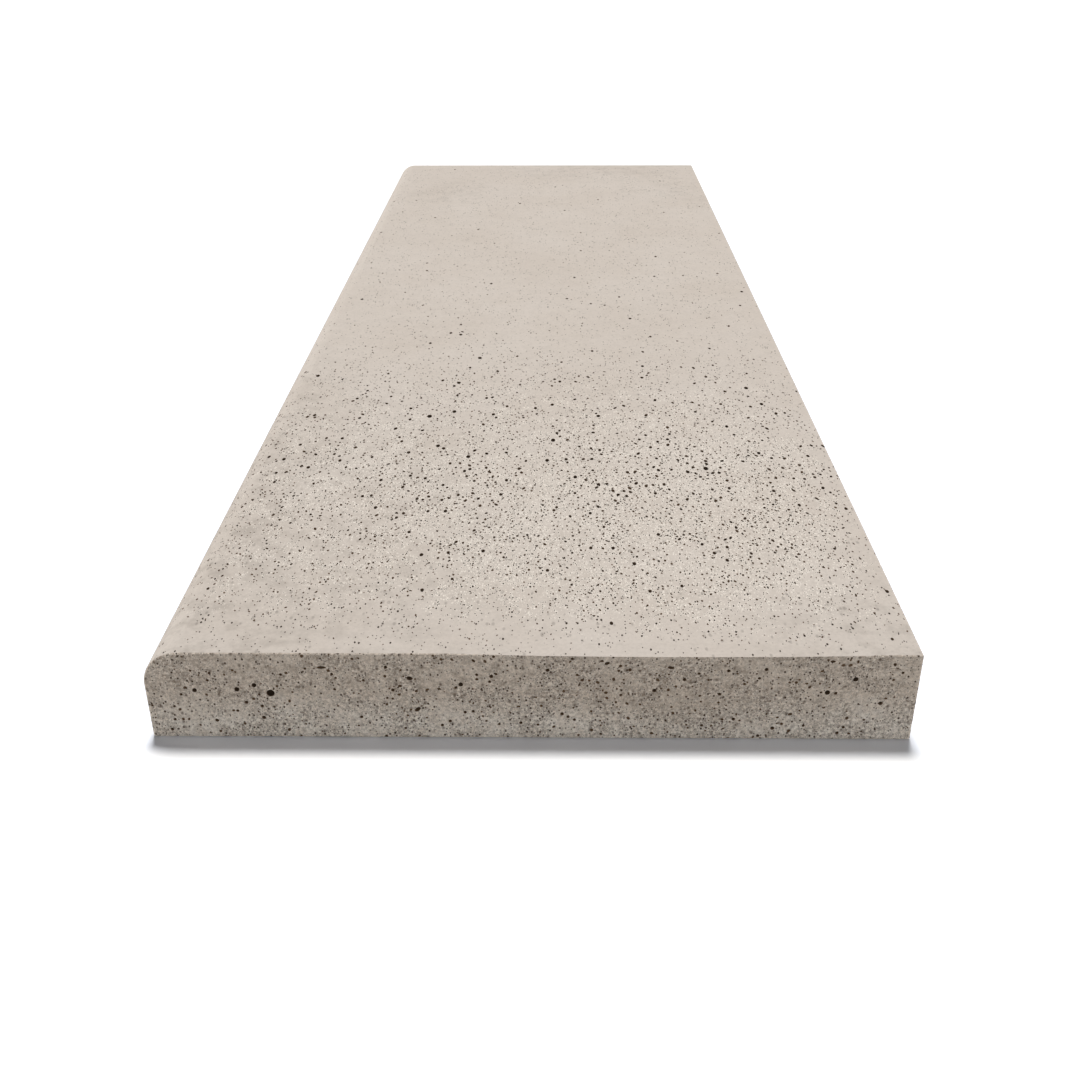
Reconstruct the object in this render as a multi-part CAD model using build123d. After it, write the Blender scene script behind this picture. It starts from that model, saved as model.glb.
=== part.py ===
from build123d import *
import os

# A pool coping stone: one slab of cast concrete that lies in mortar along the rim of a pool.
# Its long edge over the water is a half bullnose, and its back and both ends are square.
# X runs across the stone, with the nose at -X, Y along the rim and Z up, in millimetres.
# The origin is the middle of the bed, the face that lies in the mortar.

# The stone as laid
length = 900.0
width = 300.0
thickness = 40.0

# The nose: the quarter round along the top of the water side
nose_radius = 15.0

# The arrises: the small round that the mould leaves along the back and round both ends,
# and the narrow flat round the bed, where the wet concrete was struck off level
cast_arris = 1.0
struck_arris = 0.6


def section():
    """The stone's cross-section: a rectangle on the bed, with its top corner over the water rounded."""
    with BuildSketch(Plane.XZ) as outline:
        with Locations((0, thickness / 2)):
            Rectangle(width, thickness)
        top_corners = outline.vertices().group_by(Axis.Y)[-1]
        fillet(top_corners.sort_by(Axis.X)[0], nose_radius)
    return outline.sketch


def coping_stone():
    """The section run along the rim, with every arris eased. The nose's arc is eased at both ends too."""
    with BuildPart() as stone:
        extrude(section(), amount=length / 2, both=True)
        bed = stone.faces().sort_by(Axis.Z)[0]
        top = stone.faces().filter_by(Axis.Z).sort_by(Axis.Z)[-1]
        back = stone.faces().sort_by(Axis.X)[-1]
        ends = stone.faces().filter_by(Axis.Y)
        round_the_ends = ends.edges() - bed.edges()
        along_the_back = back.edges() & top.edges()
        fillet(round_the_ends + along_the_back, cast_arris)
        bed = stone.faces().sort_by(Axis.Z)[0]
        chamfer(bed.edges(), struck_arris)
    return stone.part


os.makedirs("parts", exist_ok=True)
export_step(coping_stone(), "parts/coping_stone.step")
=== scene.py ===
import math

import bmesh
import bpy
import numpy as np
from mathutils import Matrix, Vector, noise


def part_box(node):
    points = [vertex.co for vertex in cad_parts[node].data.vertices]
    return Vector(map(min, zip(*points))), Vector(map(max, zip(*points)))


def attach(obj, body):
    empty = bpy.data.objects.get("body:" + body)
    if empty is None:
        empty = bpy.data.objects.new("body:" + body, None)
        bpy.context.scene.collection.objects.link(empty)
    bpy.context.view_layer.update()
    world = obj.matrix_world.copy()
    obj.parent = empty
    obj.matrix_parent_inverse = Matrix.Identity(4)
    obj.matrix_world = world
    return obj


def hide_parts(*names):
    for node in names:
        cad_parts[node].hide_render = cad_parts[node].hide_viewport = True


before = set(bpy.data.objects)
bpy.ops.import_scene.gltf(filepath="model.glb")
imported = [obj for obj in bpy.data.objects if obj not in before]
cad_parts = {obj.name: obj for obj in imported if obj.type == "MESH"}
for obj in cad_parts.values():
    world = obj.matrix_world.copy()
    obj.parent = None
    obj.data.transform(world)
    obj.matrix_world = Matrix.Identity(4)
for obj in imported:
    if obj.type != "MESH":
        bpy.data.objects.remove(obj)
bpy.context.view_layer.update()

# The cast slab
# One pour of pale concrete, about 25 kg, laid in mortar along the rim of a pool. It was cast in a
# smooth mould with the walking face down, which left the quarter round over the water, a 1 mm
# round along the cast arrises and a narrow flat round the bed, where the pour was struck off.
MM = 0.001
NOSE_RADIUS = 15 * MM
CAST_ARRIS = 1 * MM
STRUCK_ARRIS = 0.6 * MM
NOSE_FACETS = 32
ARRIS_FACETS = 3
SAME_PLACE = 0.01 * MM

low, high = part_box("coping_stone")
LENGTH, WIDTH, THICKNESS = high.y - low.y, high.x - low.x, high.z - low.z


def edges_on(mesh, **planes):
    """The edges that lie in every plane named, such as y=low.y."""
    return [
        edge for edge in mesh.edges
        if all(
            abs(getattr(vert.co, axis) - place) < SAME_PLACE
            for vert in edge.verts for axis, place in planes.items())
    ]


def ease(mesh, edges, width, facets):
    """Rounds these edges, or cuts them to one flat."""
    bmesh.ops.bevel(
        mesh, geom=edges, offset=width, offset_type="OFFSET", affect="EDGES", segments=facets,
        profile=0.5, material=-1, clamp_overlap=False,
    )


slab = bmesh.new()
bmesh.ops.create_cube(slab, size=1)
bmesh.ops.scale(slab, vec=high - low, verts=slab.verts)
bmesh.ops.translate(slab, vec=(low + high) / 2, verts=slab.verts)
ease(slab, edges_on(slab, x=low.x, z=high.z), NOSE_RADIUS, NOSE_FACETS)
round_the_ends = set(edges_on(slab, y=low.y) + edges_on(slab, y=high.y)) - set(edges_on(slab, z=low.z))
along_the_back = edges_on(slab, x=high.x, z=high.z)
ease(slab, list(round_the_ends) + along_the_back, CAST_ARRIS, ARRIS_FACETS)
ease(slab, edges_on(slab, z=low.z), STRUCK_ARRIS, 1)

# The mould's finishes, in the order of the material slots
WALKING, SIDE, BED, PORE = range(4)
for face in slab.faces:
    if face.normal.z < -0.9:
        face.material_index = BED
    elif abs(face.normal.y) > 0.5 or face.normal.x > 0.5:
        face.material_index = SIDE
    else:
        face.material_index = WALKING

# The air pores
# Bubbles that the vibrating table drove against the mould and that opened when the stone was
# stripped. Most are under 1 mm wide, and the largest are 3 mm wide and 5 mm long. They crowd in
# drifts over one half of the walking face, lie along the stone and thin out towards its edges.
ARC = NOSE_RADIUS * math.pi / 2
FOOT = THICKNESS - NOSE_RADIUS
FLAT = WIDTH - NOSE_RADIUS
GIRTH = FOOT + ARC + FLAT + THICKNESS + WIDTH
SMALLEST_PORE = 0.55 * MM
WALL_BETWEEN = 0.12 * MM
LONGEST_PIT, LONGEST_BUBBLE = 1.9 * MM, 2.6 * MM
CELL = 4 * MM
rng = np.random.default_rng(40)


def round_the_section(walk):
    """The place and the way out of the stone, by the distance walked round its section. The walk starts at
    the foot of the nose and goes over the top, down the back and along the bed."""
    turn = min(max((walk - FOOT) / NOSE_RADIUS, 0), math.pi / 2)
    if walk <= FOOT:
        return Vector((low.x, 0, low.z + walk)), Vector((-1, 0, 0))
    if walk <= FOOT + ARC:
        out = Vector((-math.cos(turn), 0, math.sin(turn)))
        return Vector((low.x + NOSE_RADIUS, 0, high.z - NOSE_RADIUS)) + out * NOSE_RADIUS, out
    walk -= FOOT + ARC
    if walk <= FLAT:
        return Vector((low.x + NOSE_RADIUS + walk, 0, high.z)), Vector((0, 0, 1))
    walk -= FLAT
    if walk <= THICKNESS:
        return Vector((high.x, 0, high.z - walk)), Vector((1, 0, 0))
    return Vector((high.x - (walk - THICKNESS), 0, low.z)), Vector((0, 0, -1))


class Hollows:
    """The hollows placed so far, none of which reaches into another."""

    def __init__(self):
        self.placed = []
        self.cells = {}

    def add(self, place, out, width, length=None, turn=None, depth=1.0, shape=None, finish=PORE):
        """Takes a hollow if there is room for it. A pore's shape follows from its size."""
        length = length or width
        if shape is None:
            shape = "pit" if length < LONGEST_PIT else "bubble" if length < LONGEST_BUBBLE else "hollow"
        reach = max(width, length) / 2
        cell = tuple(int(math.floor(value / CELL)) for value in place)
        near = [
            other
            for dx in (-1, 0, 1) for dy in (-1, 0, 1) for dz in (-1, 0, 1)
            for other in self.cells.get((cell[0] + dx, cell[1] + dy, cell[2] + dz), ())
        ]
        if any((place - spot).length < reach + held + WALL_BETWEEN for spot, held in near):
            return False
        self.cells.setdefault(cell, []).append((place, reach))
        turn = rng.uniform(0, math.tau) if turn is None else turn
        self.placed.append((place, out, (length, width, width * depth), turn, shape, finish))
        return True


pores = Hollows()

# The largest pores, where the stone shows them: across the stone from its middle, then height above
# the bed on the near end or distance along the walking face, then the width, all in mm
END_PORES = [
    (-130.5, 22.7, 1.8), (-113.9, 23.2, 2.0), (-107, 25.2, 1.9), (-101, 21.5, 2.7), (-105.5, 20.8, 1),
    (-110.9, 17.1, 1.4), (-104.9, 15.3, 1.3), (-104.8, 9.8, 1.5), (-114.8, 13, 1.2), (-136, 20.7, 1.1),
    (-139.4, 15, 1.1), (-140.1, 8.7, 1.2), (-141.9, 3.9, 1.3), (-123.5, 8.3, 1.4), (-130.9, 31.9, 1.0),
    (-123.7, 30.8, 1.1), (-124.9, 27.4, 1.1), (-96.2, 30.2, 1.1), (-86.5, 33, 1), (-76.4, 30.5, 1.1),
    (-75.8, 23.4, 1.1), (-55.4, 33.8, 1.3), (-53.2, 23.2, 1.3), (-55.6, 19.4, 1.0), (-53.5, 19.1, 1.0),
    (-64.4, 27.7, 1.1), (-66.3, 10.2, 1.2), (-26.8, 25.9, 1.8), (-28.7, 24.4, 1.2), (-14.9, 29.7, 1.5),
    (-13, 30.8, 1.1), (-15.6, 27.2, 1.2), (-20.5, 30.5, 1.2), (-25.5, 12.7, 1.3), (-22.3, 13.2, 1.2),
    (-31.5, 8.4, 1.3), (-34.7, 6.4, 1.2), (-49.2, 4.9, 1.1), (6.8, 32.7, 1.5), (16.2, 38, 1.1),
    (38.3, 33, 1.3), (48.1, 23.4, 1.6), (35.2, 21.2, 1.2), (12.5, 12.1, 1.4), (14.8, 10.7, 1.2),
    (17.3, 9.3, 1.2), (-3.7, 7.7, 1.3), (3, 6.8, 1.1), (27.8, 2.4, 1.1), (59.5, 28.6, 1.5),
    (76.2, 32.7, 1.4), (64.9, 31.4, 1.1), (90.6, 33.4, 1.4), (88.3, 29.3, 1.1), (125.2, 29, 2.0),
    (115, 22.8, 2.1), (112.5, 22.8, 0.9), (136, 17.8, 1.6), (139.3, 35.9, 1.2), (142.8, 32.1, 1.1),
    (79.6, 9.9, 1.4), (75.2, 9.7, 1.2), (95.2, 5.6, 1.5), (73.4, 21.8, 1.3), (120.8, 3.4, 1.3),
    (123, 6.1, 1.2), (107.2, 6.9, 1.2), (130.6, 9.8, 1.0), (67.3, 6.8, 1.2), (89.8, 1.8, 1.2),
]
# Long pores on the near end, with their length and how far they turn from level, in degrees
END_LONG_PORES = [
    (-80.2, 33.6, 1.2, 3.2, 0), (-46.5, 28.7, 1.6, 2.4, -15), (-44, 14, 1.5, 2.6, 40),
    (-21.6, 37, 1.1, 1.9, -40), (29.6, 36, 1.4, 2.2, 20), (27.6, 37, 0.9, 1.6, 0),
    (54, 34.1, 1.2, 2.6, -10), (115.6, 37.2, 1.2, 2.0, 0), (-35.2, 23.8, 0.9, 1.9, -15),
    (75.8, 5.2, 0.7, 2.0, 35),
]
TOP_PORES = [
    (-59.4, -216.8, 2.3), (-46.2, -210, 2.0), (-24.4, -214, 1.7), (-28.4, -236.8, 1.2),
    (-51.4, -256.4, 1.9), (-48.2, -259.6, 1.6), (-65.8, -264.8, 1.6), (-34.8, -269.8, 1.9),
    (-128.6, -273.4, 1.7), (-103.8, -267, 1.3), (-114.4, -283, 1.6), (-62, -292.6, 1.4),
    (-40.2, -283, 1.2), (-33, -284.8, 1.5), (-40.8, -290.4, 1.2), (-76, -297.6, 1.5),
    (-30, -298.4, 1.3), (-14.2, -297.6, 1.5), (-45, -303, 1.4), (-16.4, -313.2, 1.5),
    (-44.2, -319.2, 1.4), (-74.8, -327.4, 1.5), (-82.6, -315.4, 1.4), (-49.8, -331, 1.3),
    (-41.6, -330.8, 1.5), (-56.4, -351.6, 1.35), (-140.6, -310.2, 1.4), (-22, -369, 1.45),
    (-37.2, -370.6, 1.3), (-48.8, -372.6, 1.5), (-45.6, -402.6, 1.4), (-33.8, -393.4, 1.2),
    (-135, -402, 1.2), (8.6, -248.8, 2.1), (10.6, -239.6, 1.5), (5.6, -274.2, 1.8), (15.2, -272.8, 1.5),
    (19.6, -293.6, 1.8), (33.4, -216, 1.8), (30.4, -229, 1.3), (30.8, -302, 1.6), (19.2, -311.6, 1.3),
    (43.8, -314.6, 1.4), (54, -247.8, 1.4), (63.4, -250.6, 1.4), (70.4, -240.6, 1.4), (85, -283.6, 2.2),
    (75.6, -287.6, 1.6), (76.4, -277.4, 1.3), (57.8, -311.6, 1.4), (56.2, -353.4, 1.4),
    (85.6, -307.4, 1.3), (92, -346.6, 1.3), (85.6, -365, 1.3), (79.4, -370.4, 1.4), (84.2, -376.8, 1.4),
    (35.2, -366.2, 1.5), (25.4, -366, 1.3), (43.8, -380, 1.5), (49, -403, 1.35), (62.6, -398.8, 1.3),
    (6.4, -386, 1.3), (32, -427.8, 1.3), (115, -308.8, 1.5), (124.6, -323.8, 1.4), (132.2, -295.4, 1.3),
    (138.8, -268.4, 1.5), (104.6, -241.4, 1.4), (147, -402.6, 1.3), (145.8, -327.4, 1.4),
    (140.4, -438.6, 1.2), (-36.8, -124.2, 2.0), (-41.8, -141, 1.4), (-131.5, -155, 1.9),
    (13.5, -131.5, 1.3), (32.8, -111.5, 1.6), (61, -157.5, 1.6), (62.5, -138.2, 1.6), (71, -84.2, 1.5),
    (59.8, -47.5, 1.7), (54.8, 0.5, 1.4), (18, -3.5, 1.4), (34.3, -15.2, 1.4), (-51.5, -80.5, 1.8),
    (-58.2, -77.2, 1.7), (-52.8, -60.3, 1.4), (-69.8, -97, 1.6), (-126.2, -5, 1.7),
    (-46.8, -166.2, 1.9), (120.2, -174, 2.0), (125.5, -198.5, 1.8), (105.2, -136.5, 1.3),
    (8, -199.8, 1.7), (-37, 32.5, 1.7), (142.8, 13, 1.8), (83.2, 51, 1.5),
]
TOP_LONG_PORES = [
    (-65.8, -287.6, 1.3, 2.5, 120), (-46.6, -292, 0.9, 1.9, 80), (-52.2, -345.6, 1.0, 1.8, 130),
]

# A pore's mouth is wider than what shows dark in it. On the walking face, which is seen at a slant,
# the round ones are really drawn out along the stone.
END_MOUTH, END_LONG_MOUTH, TOP_MOUTH, TOP_DRAWN_OUT = 1.18, 1.1, 1.15, 2
END_DEPTH = 0.7
for across, height, width in END_PORES:
    place = Vector((across * MM, low.y, height * MM))
    pores.add(place, Vector((0, -1, 0)), width * MM * END_MOUTH, depth=END_DEPTH)
for across, height, width, length, turn in END_LONG_PORES:
    place = Vector((across * MM, low.y, height * MM))
    mouth = width * MM * END_LONG_MOUTH, length * MM * END_LONG_MOUTH
    pores.add(place, Vector((0, -1, 0)), *mouth, math.radians(turn), END_DEPTH)
for across, along, width in TOP_PORES:
    place = Vector((across * MM, along * MM, high.z))
    pores.add(place, Vector((0, 0, 1)), width * MM * TOP_MOUTH, width * MM * TOP_DRAWN_OUT, math.pi / 2)
for across, along, width, length, turn in TOP_LONG_PORES:
    place = Vector((across * MM, along * MM, high.z))
    pores.add(place, Vector((0, 0, 1)), width * MM, length * MM, math.radians(turn))

# Where the smaller ones crowd on the walking face: the middle of each drift across and along the
# stone and its reach both ways, in mm, and how much it adds to the few that lie everywhere
EVERYWHERE = 0.03
DRIFTS = [
    (30, -310, 330, 215, 0.8), (60, -395, 110, 80, 0.35), (85, -300, 90, 70, 0.35),
    (-45, -325, 60, 60, 0.2),
]
PATCH = 12 * MM
BARE_SIDE, BARE_END, BARE_CORNER = 20 * MM, 45 * MM, 12 * MM
FACES_UP = 0.3


def crowding(place, out):
    """How thickly the pores lie at a place, from 0 to 1."""
    patches = 0.6 + 1.5 * noise.noise(place / PATCH)
    from_side, from_end = high.x - abs(place.x), high.y - abs(place.y)
    if out.z < FACES_UP:
        in_corner = from_end < SAME_PLACE and from_side < BARE_CORNER
        return min(1, max(0.15, patches + 0.2)) * (0.25 if in_corner else 1)
    crowd = EVERYWHERE
    for across, along, wide, long, more in DRIFTS:
        off_middle = (place.x / MM - across) / wide, (place.y / MM - along) / long
        crowd += more * max(0, 1 - math.hypot(*off_middle))
    bare = min(1, 0.4 + from_side / BARE_SIDE, 0.05 + from_end / BARE_END)
    return min(1, crowd) * min(1, max(0.2, patches + 0.3)) * bare


# On the walking face the pores are finer towards the near end, and finest there where they are few
FINEST, FULL_SIZE, FINER_OVER = 0.5, 1.1, 330 * MM
CROWDED = 0.4


def scatter(count, spot, spread, largest, depths=(0.45, 1.05), drawn=None):
    """Places this many pores where spot() finds one. spread is how much wider than the smallest they are
    on average and largest the widest, in mm, and drawn is the way they are drawn out."""
    placed = 0
    while placed < count:
        place, out = spot()
        thick = crowding(place, out)
        if rng.random() < thick:
            finer = 1
            if out.z > FACES_UP:
                from_end = place.y - low.y
                finer = min(FULL_SIZE, FINEST + from_end / FINER_OVER + 0.2 * max(0, thick - CROWDED))
            smallest = SMALLEST_PORE * (1 - 0.6 * (1 - min(1, finer)) * (1 - thick))
            grown = rng.exponential(spread * MM) * (0.55 + 0.6 * thick) * finer
            width = min(smallest + grown, largest * finer * MM)
            length = width * (rng.choice((1, 1, 1.15, 1.4)) if drawn is None else rng.uniform(1.4, 2.1))
            turn = None if drawn is None else drawn + rng.normal(0, 0.25)
            placed += pores.add(place, out, width, length, turn, rng.uniform(*depths))


def spot_on_strip(first, last):
    """A place on the long faces, between two distances round the section."""
    def spot():
        place, out = round_the_section(rng.uniform(first, last))
        place.y = rng.uniform(low.y + CAST_ARRIS, high.y - CAST_ARRIS)
        return place, out
    return spot


def spot_on_end(side):
    """A place on an end face, clear of the nose's corner."""
    def spot():
        while True:
            x, z = rng.uniform(low.x, high.x), rng.uniform(low.z, high.z)
            corner = Vector((low.x + NOSE_RADIUS - x, z - (high.z - NOSE_RADIUS)))
            if min(corner) < 0 or corner.length < NOSE_RADIUS:
                return Vector((x, side * high.y, z)), Vector((0, side, 0))
    return spot


# The walking face starts a third of the way round the nose
walking_start = FOOT + ARC / 3
back_top, bed_start = GIRTH - WIDTH - THICKNESS, GIRTH - WIDTH
scatter(
    5200, spot_on_strip(walking_start, FOOT + ARC + FLAT), spread=0.47, largest=1.6, depths=(0.6, 1.2),
    drawn=math.pi / 2)
scatter(260, spot_on_strip(0, walking_start), spread=0.24, largest=2.0)
scatter(600, spot_on_strip(back_top, bed_start), spread=0.24, largest=2.4)
scatter(900, spot_on_strip(bed_start, GIRTH), spread=0.24, largest=2.4)
scatter(400, spot_on_end(-1), spread=0.32, largest=1.4, depths=(0.2, 0.6))
scatter(360, spot_on_end(1), spread=0.24, largest=2.0)

# The worn arrises
# The cast arrises are sharp and brittle. Crumbs came off them when the stone was stripped and moved,
# bubbles break through them here and there, and the near one sags by 1 mm right of its middle.
# The sag is the underside of a long ellipsoid held over the arris, whose height is a share of its width.
SAG_MIDDLE, HELD_OVER = 55 * MM, 9 * MM
SAG_WIDTH, SAG_LENGTH, SAG_SHARE = 36 * MM, 412 * MM, 0.558
dip = Hollows()
dip.add(
    Vector((SAG_MIDDLE, low.y, high.z + HELD_OVER)), Vector((0, 0, 1)), SAG_WIDTH, SAG_LENGTH,
    turn=0, depth=SAG_SHARE, shape="dip", finish=WALKING)
wear = Hollows()
# The largest crumbs, off the near end's right arris: height above the bed, width and length, in mm
for height, width, length in ((6, 2.2, 5), (30, 1.8, 6), (16, 1.5, 3)):
    wear.add(
        Vector((high.x, low.y, low.z + height * MM)), Vector((1, -1, 0)).normalized(),
        width * MM, length * MM, turn=math.pi / 2, shape="crumb", finish=SIDE)
# Each arris from end to end, which way is out of the stone, how its crumbs turn to lie along it, and
# how many there are
corner_x = low.x + NOSE_RADIUS
ARRISES = [
    (Vector((corner_x, low.y, high.z)), Vector((high.x, low.y, high.z)), (0, -1, 1), 0, 60),
    (Vector((corner_x, high.y, high.z)), Vector((high.x, high.y, high.z)), (0, 1, 1), 0, 50),
    (Vector((high.x, low.y, high.z)), Vector((high.x, high.y, high.z)), (1, 0, 1), math.pi / 2, 90),
    (Vector((high.x, low.y, low.z)), Vector((high.x, low.y, high.z)), (1, -1, 0), math.pi / 2, 8),
    (Vector((high.x, high.y, low.z)), Vector((high.x, high.y, high.z)), (1, 1, 0), math.pi / 2, 8),
    (Vector((low.x, low.y, low.z)), Vector((high.x, low.y, low.z)), (0, -1, -1), 0, 70),
    (Vector((low.x, high.y, low.z)), Vector((high.x, high.y, low.z)), (0, 1, -1), 0, 70),
    (Vector((low.x, low.y, low.z)), Vector((low.x, high.y, low.z)), (-1, 0, -1), math.pi / 2, 130),
    (Vector((high.x, low.y, low.z)), Vector((high.x, high.y, low.z)), (1, 0, -1), math.pi / 2, 130),
]
for start, end, out, turn, count in ARRISES:
    for _ in range(count):
        place = start.lerp(end, rng.uniform(0.01, 0.99))
        width, length = rng.uniform(0.95, 1.5) * MM, rng.uniform(1, 3.5) * MM
        wear.add(place, Vector(out).normalized(), width, length, turn, shape="crumb", finish=SIDE)
BROKEN_BUBBLES = 30
near_start, near_end, near_out = ARRISES[0][:3]
for _ in range(BROKEN_BUBBLES):
    place = near_start.lerp(near_end, rng.uniform(0.02, 0.98))
    wear.add(place, Vector(near_out).normalized(), rng.uniform(0.9, 1.6) * MM, shape="bubble")


def shape_of(make, rough, **settings):
    """The points and faces of one hollow 2 across, before it is placed, and how uneven it is."""
    mesh = bmesh.new()
    make(mesh, **settings)
    bmesh.ops.recalc_face_normals(mesh, faces=mesh.faces)
    points = np.array([vert.co for vert in mesh.verts])
    faces = [[vert.index for vert in face.verts] for face in mesh.faces]
    mesh.free()
    return points, faces, rough


# A pit is a six-sided cone, 1.3 times as deep as half its width, whose lid stands clear of the face
SHAPES = {
    "pit": shape_of(
        bmesh.ops.create_cone, 0.07, cap_ends=True, segments=6, radius1=1.27, radius2=0, depth=1.65,
        matrix=Matrix.Translation((0, 0, -0.475)) @ Matrix.Rotation(math.pi, 4, "X"),
    ),
    "bubble": shape_of(bmesh.ops.create_icosphere, 0.06, subdivisions=1, radius=1.05),
    "hollow": shape_of(bmesh.ops.create_icosphere, 0.05, subdivisions=2, radius=1.02),
    "crumb": shape_of(bmesh.ops.create_icosphere, 0.12, subdivisions=2, radius=1),
    "dip": shape_of(bmesh.ops.create_icosphere, 0.0, subdivisions=4, radius=1),
}


def joined(hollows, name):
    """One mesh of all these hollows, from arrays."""
    points, faces, finishes, count = [], [], [], 0
    for place, out, size, turn, shape, finish in hollows.placed:
        corners, sides, rough = SHAPES[shape]
        across = Vector((1, 0, 0)) if abs(out.x) < 0.9 else Vector((0, 1, 0))
        side = (across - out * across.dot(out)).normalized()
        axes = np.array([side, out.cross(side), out])
        uneven = corners * (1 + rng.normal(0, rough, (len(corners), 1))) * np.array(size) / 2
        points.append(uneven @ np.array(Matrix.Rotation(turn, 3, "Z")).T @ axes + np.array(place))
        faces += [[count + corner for corner in face] for face in sides]
        finishes += [finish] * len(sides)
        count += len(corners)
    mesh = bpy.data.meshes.new(name)
    mesh.from_pydata(np.concatenate(points).tolist(), [], faces)
    mesh.polygons.foreach_set("material_index", finishes)
    return mesh


FINISHES = [bpy.data.materials.new(name) for name in (
    "concrete_cast_face", "concrete_mould_side", "concrete_struck_bed", "pore_wall",
)]
solid = bpy.data.meshes.new("solid")
slab.to_mesh(solid)
slab.free()
stone = bpy.data.objects.new("stone", solid)
tools = [
    bpy.data.objects.new(name, joined(hollows, name))
    for name, hollows in (("dip", dip), ("wear", wear), ("pores", pores))
]
for made in [stone] + tools:
    bpy.context.scene.collection.objects.link(made)
    for finish in FINISHES:
        made.data.materials.append(finish)
for tool in tools:
    cut = stone.modifiers.new(tool.name, "BOOLEAN")
    cut.operation = "DIFFERENCE"
    cut.solver = "MANIFOLD"
    cut.object = tool
seen = stone.evaluated_get(bpy.context.evaluated_depsgraph_get())
cast = bpy.data.meshes.new_from_object(seen)
cast.name = "cast_slab"
for made in [stone] + tools:
    bpy.data.objects.remove(made)

# The flat faces stay flat and the rounds stay round: an edge is sharp where a flat face ends
FOLD = math.radians(40)
FLAT_ON = 0.99999
finished = bmesh.new()
finished.from_mesh(cast)
for face in finished.faces:
    face.smooth = True
for edge in finished.edges:
    if len(edge.link_faces) == 2:
        one, other = (face.normal for face in edge.link_faces)
        flat_ends = (max(map(abs, one)) > FLAT_ON) != (max(map(abs, other)) > FLAT_ON)
        edge.smooth = not flat_ends and one.angle(other, 0) < FOLD
finished.to_mesh(cast)
finished.free()

cast_slab = bpy.data.objects.new("cast_slab", cast)
bpy.context.scene.collection.objects.link(cast_slab)


# The map for the baked finish: the section's girth unrolled across it and the length up it, with both
# ends in a strip above. Each face of the mesh lies with the side of the slab that it is nearest to.
SEAM = 10 * MM
END_STRIP = LENGTH + SEAM / 2
MAP_WIDTH, MAP_HEIGHT = GIRTH + SEAM, LENGTH + THICKNESS + SEAM


def values(items, name, each, kind=float):
    """One property of all of a mesh's vertices, loops or faces."""
    found = np.zeros(len(items) * each, kind)
    items.foreach_get(name, found)
    return found


x, y, z = values(cast.vertices, "co", 3).reshape(-1, 3).T
from_x = np.maximum(low.x + NOSE_RADIUS - x, 0)
from_z = np.maximum(z - (high.z - NOSE_RADIUS), 0)
round_the_nose = FOOT + NOSE_RADIUS * np.arctan2(from_z, from_x)
along = y - low.y
# How far below each side every point lies, and its place on the map across and up: the foot of the
# nose, the top, the back, the bed, both ends and the nose's round
sides = [
    (x - low.x, z - low.z, along),
    (high.z - z, FOOT + ARC + x - (low.x + NOSE_RADIUS), along),
    (high.x - x, FOOT + ARC + FLAT + high.z - z, along),
    (z - low.z, GIRTH - WIDTH + high.x - x, along),
    (y - low.y, x - low.x, END_STRIP + z - low.z),
    (high.y - y, WIDTH + SEAM + x - low.x, END_STRIP + z - low.z),
    (NOSE_RADIUS + SAME_PLACE - np.hypot(from_x, from_z), round_the_nose, along),
]
below, across, up = np.stack(sides, 1)
vertex_of = values(cast.loops, "vertex_index", 1, np.int32)
starts = values(cast.polygons, "loop_start", 1, np.int32)
totals = values(cast.polygons, "loop_total", 1, np.int32)
nearest = (np.add.reduceat(below[:, vertex_of], starts, 1) / totals).argmin(0)
side_of = np.repeat(nearest, totals)
on_map = [across[side_of, vertex_of] / MAP_WIDTH, up[side_of, vertex_of] / MAP_HEIGHT]
cast.uv_layers.new(name="OFBake").uv.foreach_set("vector", np.stack(on_map, 1).astype(np.float32).ravel())

# How far each point of a pore lies below the face it opened in, which the painted shade on its walls
# follows
below_face = cast.attributes.new("below_face", "FLOAT", "POINT")
below_face.data.foreach_set("value", below.min(0).astype(np.float32))


def linear(tone):
    """The linear colour that a hex tone stands for."""
    channels = [int(tone[place:place + 2], 16) / 255 for place in (1, 3, 5)]
    return [c / 12.92 if c <= 0.04045 else ((c + 0.055) / 1.055) ** 2.4 for c in channels] + [1]


def node(tree, kind, sockets=None, **settings):
    """Adds a node with its settings. A socket is given a value, a hex tone, or the socket that feeds it."""
    added = tree.nodes.new(kind)
    for name, value in settings.items():
        setattr(added, name, value)
    for name, value in (sockets or {}).items():
        if isinstance(value, bpy.types.NodeSocket):
            tree.links.new(value, added.inputs[name])
        else:
            added.inputs[name].default_value = linear(value) if isinstance(value, str) else value
    return added


def emptied(finish):
    """A material's nodes, with none in them, and the place on the stone in mm."""
    finish.use_nodes = True
    tree = finish.node_tree
    tree.nodes.clear()
    place = node(tree, "ShaderNodeTexCoord").outputs["Object"]
    return tree, node(tree, "ShaderNodeMapping", {"Vector": place, "Scale": (1000, 1000, 1000)}).outputs[0]


def blots(tree, in_mm, size, thin, thick, most=1.0, detail=4, least=0.0):
    """Soft blots about this many mm wide: least where the noise is under thin, and most where it is over
    thick."""
    clouds = node(tree, "ShaderNodeTexNoise", {
        "Vector": in_mm, "Scale": 1 / size, "Detail": detail, "Roughness": 0.6})
    return node(tree, "ShaderNodeMapRange", {
        "Value": clouds.outputs["Fac"], "From Min": thin, "From Max": thick,
        "To Min": least, "To Max": most}).outputs[0]


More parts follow.
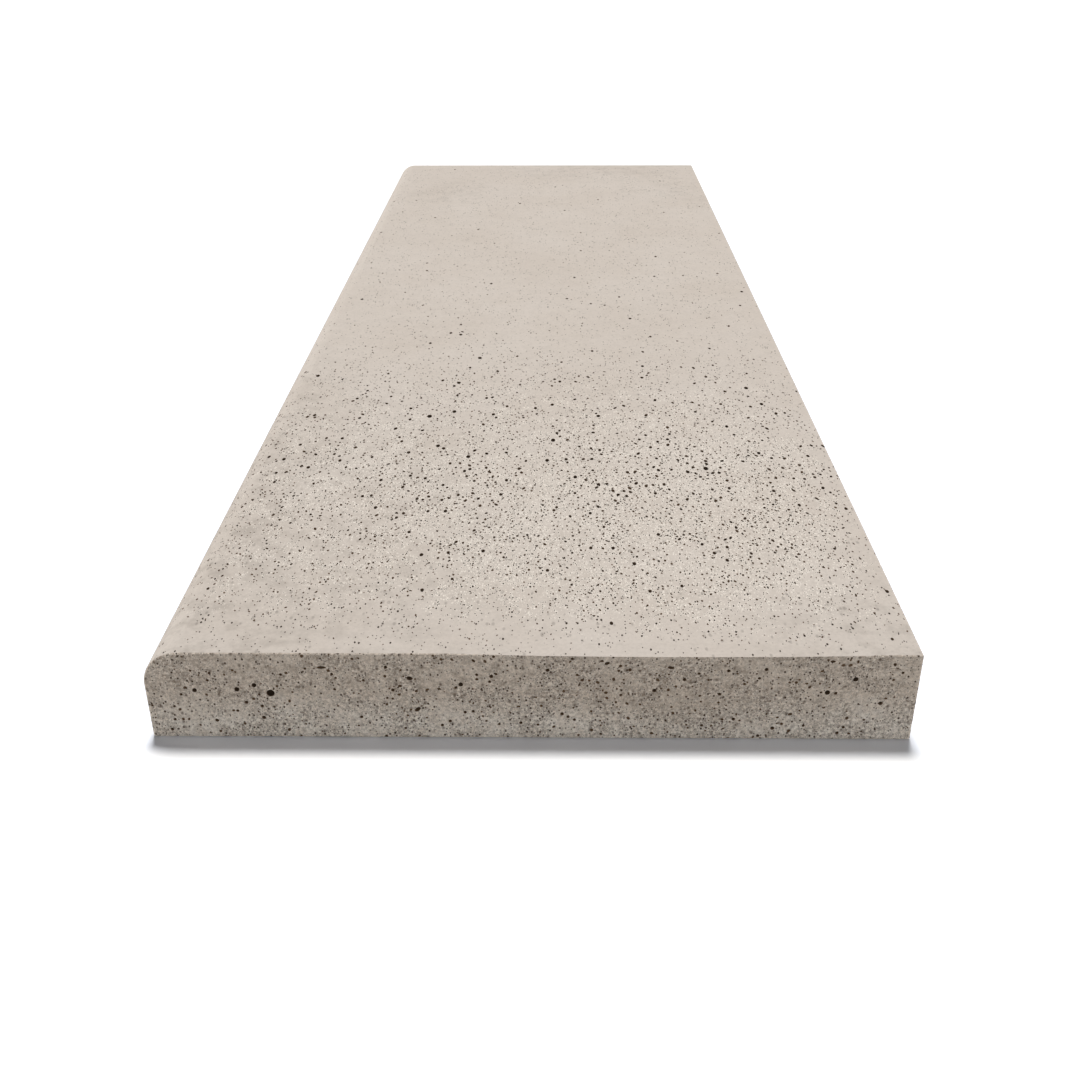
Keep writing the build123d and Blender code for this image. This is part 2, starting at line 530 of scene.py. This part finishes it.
def drifts(tree, in_mm, everywhere, middles):
    """A share that is the same everywhere, and more about each of these middles."""
    share = everywhere
    for across, along, wide, long, more in middles:
        reach = node(tree, "ShaderNodeMapping", {
            "Vector": in_mm, "Location": (-across / wide, -along / long, 0),
            "Scale": (1 / wide, 1 / long, 0)})
        drift = node(tree, "ShaderNodeTexGradient", {"Vector": reach.outputs[0]}, gradient_type="SPHERICAL")
        share = node(tree, "ShaderNodeMath", {
            0: drift.outputs["Fac"], 1: more, 2: share}, operation="MULTIPLY_ADD").outputs[0]
    return share


def bare_edges(tree, in_mm):
    """1 over the walking face, and less close to its sides and still less close to its ends."""
    from_middle = node(tree, "ShaderNodeVectorMath", {0: in_mm}, operation="ABSOLUTE").outputs[0]
    past_rim = node(tree, "ShaderNodeVectorMath", {
        0: from_middle, 1: (WIDTH / MM / 2, LENGTH / MM / 2, 0)}, operation="SUBTRACT").outputs[0]
    past = node(tree, "ShaderNodeSeparateXYZ", {0: past_rim}).outputs
    side, end = (
        node(tree, "ShaderNodeMapRange", {
            "Value": past[axis], "From Min": -reach / MM, "From Max": 0,
            "To Min": 1, "To Max": least}).outputs[0]
        for axis, reach, least in ((0, BARE_SIDE, 0.4), (1, BARE_END, 0.35)))
    return node(tree, "ShaderNodeMath", {0: side, 1: end}, operation="MINIMUM").outputs[0]


def spots(tree, in_mm, cell, finest, widest, crowd):
    """How far inside a round spot each place is, in mm. One lies in each cell where the crowd is thick
    enough."""
    cells = node(tree, "ShaderNodeTexVoronoi", {"Vector": in_mm, "Scale": 1 / cell})
    draw = node(tree, "ShaderNodeSeparateColor", {"Color": cells.outputs["Color"]}).outputs
    held = node(tree, "ShaderNodeMath", {0: draw[0], 1: crowd}, operation="LESS_THAN").outputs[0]
    rare = node(tree, "ShaderNodeMath", {0: draw[1], 1: 1.5}, operation="POWER").outputs[0]
    radius = node(tree, "ShaderNodeMath", {
        0: rare, 1: (widest - finest) / 2, 2: finest / 2 + 1}, operation="MULTIPLY_ADD").outputs[0]
    radius = node(tree, "ShaderNodeMath", {0: radius, 1: held, 2: -1}, operation="MULTIPLY_ADD").outputs[0]
    return node(tree, "ShaderNodeMath", {
        0: cells.outputs["Distance"], 1: -cell, 2: radius}, operation="MULTIPLY_ADD").outputs[0]


def wrinkles(tree, in_mm, size, width):
    """Fine curling lines about this many mm apart: 1 along a line, 0 away from it."""
    folds = node(tree, "ShaderNodeTexNoise", {
        "Vector": in_mm, "Scale": 1 / size, "Detail": 2, "Roughness": 0.6, "Distortion": 0.6})
    off_line = node(tree, "ShaderNodeMath", {
        0: folds.outputs["Fac"], 1: 0.5}, operation="SUBTRACT").outputs[0]
    off_line = node(tree, "ShaderNodeMath", {0: off_line}, operation="ABSOLUTE").outputs[0]
    return node(tree, "ShaderNodeMapRange", {
        "Value": off_line, "From Min": 0, "From Max": width, "To Min": 1, "To Max": 0}).outputs[0]


def pricked(tree, in_mm, tone, hole, crowd, drawn_out, fleck, skinned, soft):
    """Finishes a concrete: sand just under its skin, and pinholes, whose dark is painted shade. Where they
    crowd they have pale rims, and there are pale flecks where the skin over a bubble is whole. Pores that
    are mostly skinned over are soft dark spots of painted shade. fleck and skinned are how strongly both
    show, and soft is half the width of a pinhole's edge, in mm."""
    sand = node(tree, "ShaderNodeTexNoise", {
        "Vector": in_mm, "Scale": 1 / 1.2, "Detail": 2, "Roughness": 0.6}).outputs["Fac"]
    stretched = node(tree, "ShaderNodeMapping", {"Vector": in_mm, "Scale": drawn_out}).outputs[0]
    moved = node(tree, "ShaderNodeMapping", {"Vector": stretched, "Location": (31, 17, 5)}).outputs[0]
    fine = spots(tree, stretched, 1.0, 0.25, 0.6, crowd)
    medium = spots(tree, stretched, 1.7, 0.45, 1.0, crowd)
    whole = spots(tree, moved, 0.9, 0.3, 0.6, crowd)
    shallow = spots(tree, stretched, 2.4, 0.8, 2.0, crowd)
    inside = node(tree, "ShaderNodeMath", {0: fine, 1: medium}, operation="MAXIMUM").outputs[0]
    flecks, rim, shaded_dents, pinhole = (
        node(tree, "ShaderNodeMapRange", {
            "Value": depth, "From Min": start, "From Max": end, "To Max": most,
        }, interpolation_type="SMOOTHSTEP").outputs[0]
        for depth, start, end, most in (
            (whole, -0.1, 0.1, 1), (inside, -0.35, -0.08, 1), (shallow, -0.2, 0.5, skinned),
            (inside, -soft, soft, 1)))
    paler = node(tree, "ShaderNodeMath", {0: flecks, 1: rim}, operation="MAXIMUM").outputs[0]
    crowded = node(tree, "ShaderNodeMapRange", {
        "Value": crowd, "From Min": 0.22, "From Max": 0.5, "To Max": fleck}).outputs[0]
    paler = node(tree, "ShaderNodeMath", {0: paler, 1: crowded}, operation="MULTIPLY").outputs[0]
    # The pinholes and the skinned-over pores are darkened with painted shade
    for share, over in ((paler, "#F5ECE0"), (shaded_dents, hole), (pinhole, hole)):
        tone = node(tree, "ShaderNodeMix", {
            "Factor": share, "A": tone, "B": over}, data_type="RGBA").outputs[2]
    skin = node(tree, "ShaderNodeBump", {"Height": sand, "Strength": 0.5, "Distance": 0.06 * MM})
    face = node(tree, "ShaderNodeBump", {
        "Height": pinhole, "Strength": 1, "Distance": 0.25 * MM, "Normal": skin.outputs[0]}, invert=True)
    shader = node(tree, "ShaderNodeBsdfPrincipled", {
        "Base Color": tone, "Roughness": 0.92, "IOR": 1.5, "Specular IOR Level": 0.3,
        "Normal": face.outputs[0]})
    node(tree, "ShaderNodeOutputMaterial", {"Surface": shader.outputs[0]})


# Where the walking face is darker, with dirt and, at the far end, with painted shade: the middle of each
# smudge across and along the stone, its reach both ways in mm, and how much
DIRT_AND_SHADE = [
    (-120, -380, 150, 260, 1.6), (150, -450, 80, 70, 2.2), (-150, -450, 80, 60, 0.8),
    # The first smudge on the next line, over the far end, is painted shade
    (60, 460, 140, 100, 1.8), (-90, 330, 70, 70, 0.9), (-150, -250, 50, 220, 0.9),
    (120, 330, 60, 80, 0.8),
]


def walking_face(finish):
    """Concrete from the smooth bottom of the mould: an even pale skin with a little dirt, darker at the far
    end with painted shade, full of pinholes in drifts."""
    tree, in_mm = emptied(finish)
    clouds = blots(tree, in_mm, 60, 0.32, 0.68)
    grime_and_shade = blots(tree, in_mm, 9, 0.46, 0.68, most=0.2, detail=5, least=0.045)
    dirt_and_shade_share = drifts(tree, in_mm, 0.4, DIRT_AND_SHADE)
    dirt_and_shade = node(tree, "ShaderNodeMath", {0: grime_and_shade, 1: dirt_and_shade_share}, operation="MULTIPLY").outputs[0]
    sandy = blots(tree, in_mm, 1.4, 0.42, 0.66, most=0.12, detail=2)
    tone = "#D5CBC1"
    for share, over in ((clouds, "#D0C5BA"), (dirt_and_shade, "#8E857B"), (sandy, "#8E857B")):
        tone = node(tree, "ShaderNodeMix", {
            "Factor": share, "A": tone, "B": over}, data_type="RGBA").outputs[2]
    patchy = blots(tree, in_mm, PATCH / MM, 0.4, 0.58, detail=2, least=0.45)
    thick = node(tree, "ShaderNodeMath", {
        0: drifts(tree, in_mm, 0.17, DRIFTS), 1: bare_edges(tree, in_mm)}, operation="MULTIPLY").outputs[0]
    crowd = node(tree, "ShaderNodeMath", {0: patchy, 1: thick}, operation="MULTIPLY").outputs[0]
    pricked(tree, in_mm, tone, "#33281E", crowd, (1.1, 0.6, 1), fleck=0.78, skinned=0.3, soft=0.03)


def mould_side(finish):
    """Concrete from the mould's upright sides, where water bled up it: brown, partly with painted light
    thrown back off the stone, and finely wrinkled, paler in patches towards the bed with painted light that
    lifts the shade close to the table, and with many pores that are mostly skinned over."""
    tree, in_mm = emptied(finish)
    clouds = blots(tree, in_mm, 60, 0.32, 0.68)
    pale = blots(tree, in_mm, 3, 0.5, 0.66, most=0.5)
    mottled = blots(tree, in_mm, 5, 0.46, 0.66, most=0.42, detail=6)
    # Paler in patches towards the bed: painted light that lifts the shade close to the table
    height = node(tree, "ShaderNodeSeparateXYZ", {0: in_mm}).outputs[2]
    risen = node(tree, "ShaderNodeMath", {0: clouds, 1: 8, 2: height}, operation="MULTIPLY_ADD").outputs[0]
    low_down = node(tree, "ShaderNodeMapRange", {
        "Value": risen, "From Min": 8, "From Max": 24, "To Min": 1, "To Max": 0}).outputs[0]
    lift_patches = blots(tree, in_mm, 5, 0.44, 0.6, most=1.1, detail=4, least=0.5)
    painted_lift = node(tree, "ShaderNodeMath", {0: low_down, 1: lift_patches}, operation="MULTIPLY").outputs[0]
    patchy = blots(tree, in_mm, 14, 0.42, 0.58, detail=3, least=0.5)
    lines = wrinkles(tree, in_mm, 1.8, 0.06)
    fine_lines = node(tree, "ShaderNodeMath", {0: lines, 1: 0.62}, operation="MULTIPLY").outputs[0]
    grainy, wormy, sandy = (
        node(tree, "ShaderNodeMath", {0: fine, 1: patchy}, operation="MULTIPLY").outputs[0]
        for fine in (
            blots(tree, in_mm, 0.9, 0.5, 0.66, most=0.6, detail=2), fine_lines,
            blots(tree, in_mm, 1.5, 0.44, 0.6, most=0.5, detail=3)))
    # The base tone is warmer than the walking face's, partly with painted light thrown back off the stone
    tone = "#E3D4C4"
    for share, over in (
            (clouds, "#D9CABA"), (pale, "#EFE5D8"), (mottled, "#665645"), (painted_lift, "#FFF6EA"),
            (grainy, "#FFF6EA"), (wormy, "#584637"), (sandy, "#5C4A3A")):
        tone = node(tree, "ShaderNodeMix", {
            "Factor": share, "A": tone, "B": over}, data_type="RGBA").outputs[2]
    pricked(tree, in_mm, tone, "#4A3A2B", patchy, (0.75, 0.75, 0.65), fleck=0.25, skinned=0.75, soft=0.14)


def struck_bed(finish):
    """Concrete struck off level with a board: duller and cloudier than the cast faces."""
    tree, in_mm = emptied(finish)
    clouds = blots(tree, in_mm, 60, 0.32, 0.68)
    mottled = blots(tree, in_mm, 14, 0.46, 0.68, most=0.4, detail=5)
    sandy = blots(tree, in_mm, 1.2, 0.42, 0.66, most=0.3, detail=2)
    tone = "#CFC5B9"
    for share, over in ((clouds, "#BDB2A5"), (mottled, "#8E8478"), (sandy, "#8E8478")):
        tone = node(tree, "ShaderNodeMix", {
            "Factor": share, "A": tone, "B": over}, data_type="RGBA").outputs[2]
    patchy = blots(tree, in_mm, 20, 0.38, 0.6, most=0.5, detail=2)
    pricked(tree, in_mm, tone, "#4E3E2E", patchy, (1, 1, 1), fleck=0.3, skinned=0, soft=0.04)


def pore_wall(finish):
    """The rough wall of an air pore: dark brown, partly darker paste and partly painted shade, and darker
    deeper in with painted shade.
    """
    tree, _ = emptied(finish)
    depth = node(tree, "ShaderNodeAttribute", attribute_name="below_face").outputs["Fac"]
    painted_depth_shade = node(tree, "ShaderNodeMapRange", {
        "Value": depth, "From Min": 0.03 * MM, "From Max": 0.7 * MM,
    }, interpolation_type="SMOOTHSTEP").outputs[0]
    tone = node(tree, "ShaderNodeMix", {
        "Factor": painted_depth_shade, "A": "#66523F", "B": "#2E2319"}, data_type="RGBA").outputs[2]
    shader = node(tree, "ShaderNodeBsdfPrincipled", {
        "Base Color": tone, "Roughness": 0.95, "IOR": 1.5, "Specular IOR Level": 0.2})
    node(tree, "ShaderNodeOutputMaterial", {"Surface": shader.outputs[0]})


walking_face(FINISHES[WALKING])
mould_side(FINISHES[SIDE])
struck_bed(FINISHES[BED])
pore_wall(FINISHES[PORE])

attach(cast_slab, "root")
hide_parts("coping_stone")

# The table
# A white sheet, wider than any view. It is drawn white, apart from the stone's own shadow, and
# throws back less light than it shows, so that the end face keeps its shade. Light off the stone
# warms that shadow, and a slightly bluer sheet close to its ends makes up for it.
TABLE_HALF, BELOW_BED = 12, 0.05 * MM
THROWN = (0.42, 0.42, 0.42, 1)
SHOWN_CLOSE, SHOWN_CLEAR = (1.11, 1.146, 1.224, 1), (1.146, 1.146, 1.152, 1)
CLOSE, CLEAR = LENGTH / 2 + 5 * MM, LENGTH / 2 + 12 * MM
floor_mesh = bmesh.new()
bmesh.ops.create_grid(floor_mesh, x_segments=1, y_segments=1, size=TABLE_HALF)
bmesh.ops.translate(floor_mesh, vec=(0, 0, -BELOW_BED), verts=floor_mesh.verts)
floor_data = bpy.data.meshes.new("floor")
floor_mesh.to_mesh(floor_data)
floor_mesh.free()
floor = bpy.data.objects.new("floor", floor_data)
bpy.context.scene.collection.objects.link(floor)
sheet = bpy.data.materials.new("white_sheet")
sheet.use_nodes = True
tree = sheet.node_tree
tree.nodes.clear()


def seen_rays(tree):
    """1 for a ray that shows the background, straight or in a reflection, and 0 for one that lights the
    stone."""
    path = node(tree, "ShaderNodeLightPath").outputs
    shown = path["Is Camera Ray"]
    for kind in ("Is Glossy Ray", "Is Transmission Ray"):
        shown = node(tree, "ShaderNodeMath", {0: shown, 1: path[kind]}, operation="MAXIMUM").outputs[0]
    return shown


place = node(tree, "ShaderNodeTexCoord").outputs["Object"]
off_middle = node(tree, "ShaderNodeVectorMath", {0: place}, operation="ABSOLUTE").outputs[0]
off_middle = node(tree, "ShaderNodeSeparateXYZ", {0: off_middle}).outputs[1]
clear = node(tree, "ShaderNodeMapRange", {
    "Value": off_middle, "From Min": CLOSE, "From Max": CLEAR}).outputs[0]
paper = node(tree, "ShaderNodeMix", {
    "Factor": clear, "A": SHOWN_CLOSE, "B": SHOWN_CLEAR}, data_type="RGBA").outputs[2]
tone = node(tree, "ShaderNodeMix", {
    "Factor": seen_rays(tree), "A": THROWN, "B": paper}, data_type="RGBA").outputs[2]
diffuse = node(tree, "ShaderNodeBsdfDiffuse", {"Color": tone})
node(tree, "ShaderNodeOutputMaterial", {"Surface": diffuse.outputs[0]})
floor_data.materials.append(sheet)

# The light
# A broad lamp overhead and a little behind, a strip along each side that reaches under the nose,
# and a weak one in front for the end face, in a white room.
ROOM = 0.07
world = bpy.data.worlds.new("studio")
world.use_nodes = True
bpy.context.scene.world = world
tree = world.node_tree
tree.nodes.clear()
glow = node(tree, "ShaderNodeMath", {
    0: seen_rays(tree), 1: 1 - ROOM, 2: ROOM}, operation="MULTIPLY_ADD").outputs[0]
room = node(tree, "ShaderNodeBackground", {"Color": (1, 1, 1, 1), "Strength": glow})
node(tree, "ShaderNodeOutputWorld", {"Surface": room.outputs[0]})


def lamp(name, level, bearing, height, spread):
    """A distant lamp. level is the light on a face square to it, where 1 shows a colour as written, and
    bearing turns from +Y towards +X."""
    sun = bpy.data.lights.new(name, "SUN")
    sun.energy = level * math.pi
    sun.angle = math.radians(spread)
    tilt = Matrix.Rotation(-math.radians(90 - height), 4, "X")
    held = bpy.data.objects.new(name, sun)
    held.matrix_world = Matrix.Rotation(-math.radians(bearing), 4, "Z") @ tilt
    bpy.context.scene.collection.objects.link(held)


lamp("overhead", level=0.892, bearing=0, height=74.4, spread=13)
lamp("left_strip", level=0.54, bearing=-95, height=2, spread=12)
lamp("right_strip", level=0.54, bearing=95, height=2, spread=12)
lamp("front", level=0.27, bearing=180, height=3, spread=20)

# The camera
# About 0.4 m in front of the near end and 0.3 m above the table. It looks down, a little to the
# left, and leans a little.
TO_THE_RIGHT, IN_FRONT, ABOVE_TABLE = 9.0 * MM, 385.7 * MM, 299.4 * MM
eye = bpy.data.cameras.new("camera")
eye.sensor_width = 36
eye.lens = 40.512
camera = bpy.data.objects.new("camera", eye)
pitch, yaw, roll = math.radians(28.545), math.radians(-0.732), math.radians(0.205)
turned = Matrix.Rotation(-yaw, 4, "Z") @ Matrix.Rotation(math.pi / 2 - pitch, 4, "X")
turned = turned @ Matrix.Rotation(-roll, 4, "Z")
camera.matrix_world = Matrix.Translation((TO_THE_RIGHT, low.y - IN_FRONT, ABOVE_TABLE)) @ turned
bpy.context.scene.collection.objects.link(camera)
bpy.context.scene.camera = camera
bpy.context.scene.view_settings.view_transform = "Standard"
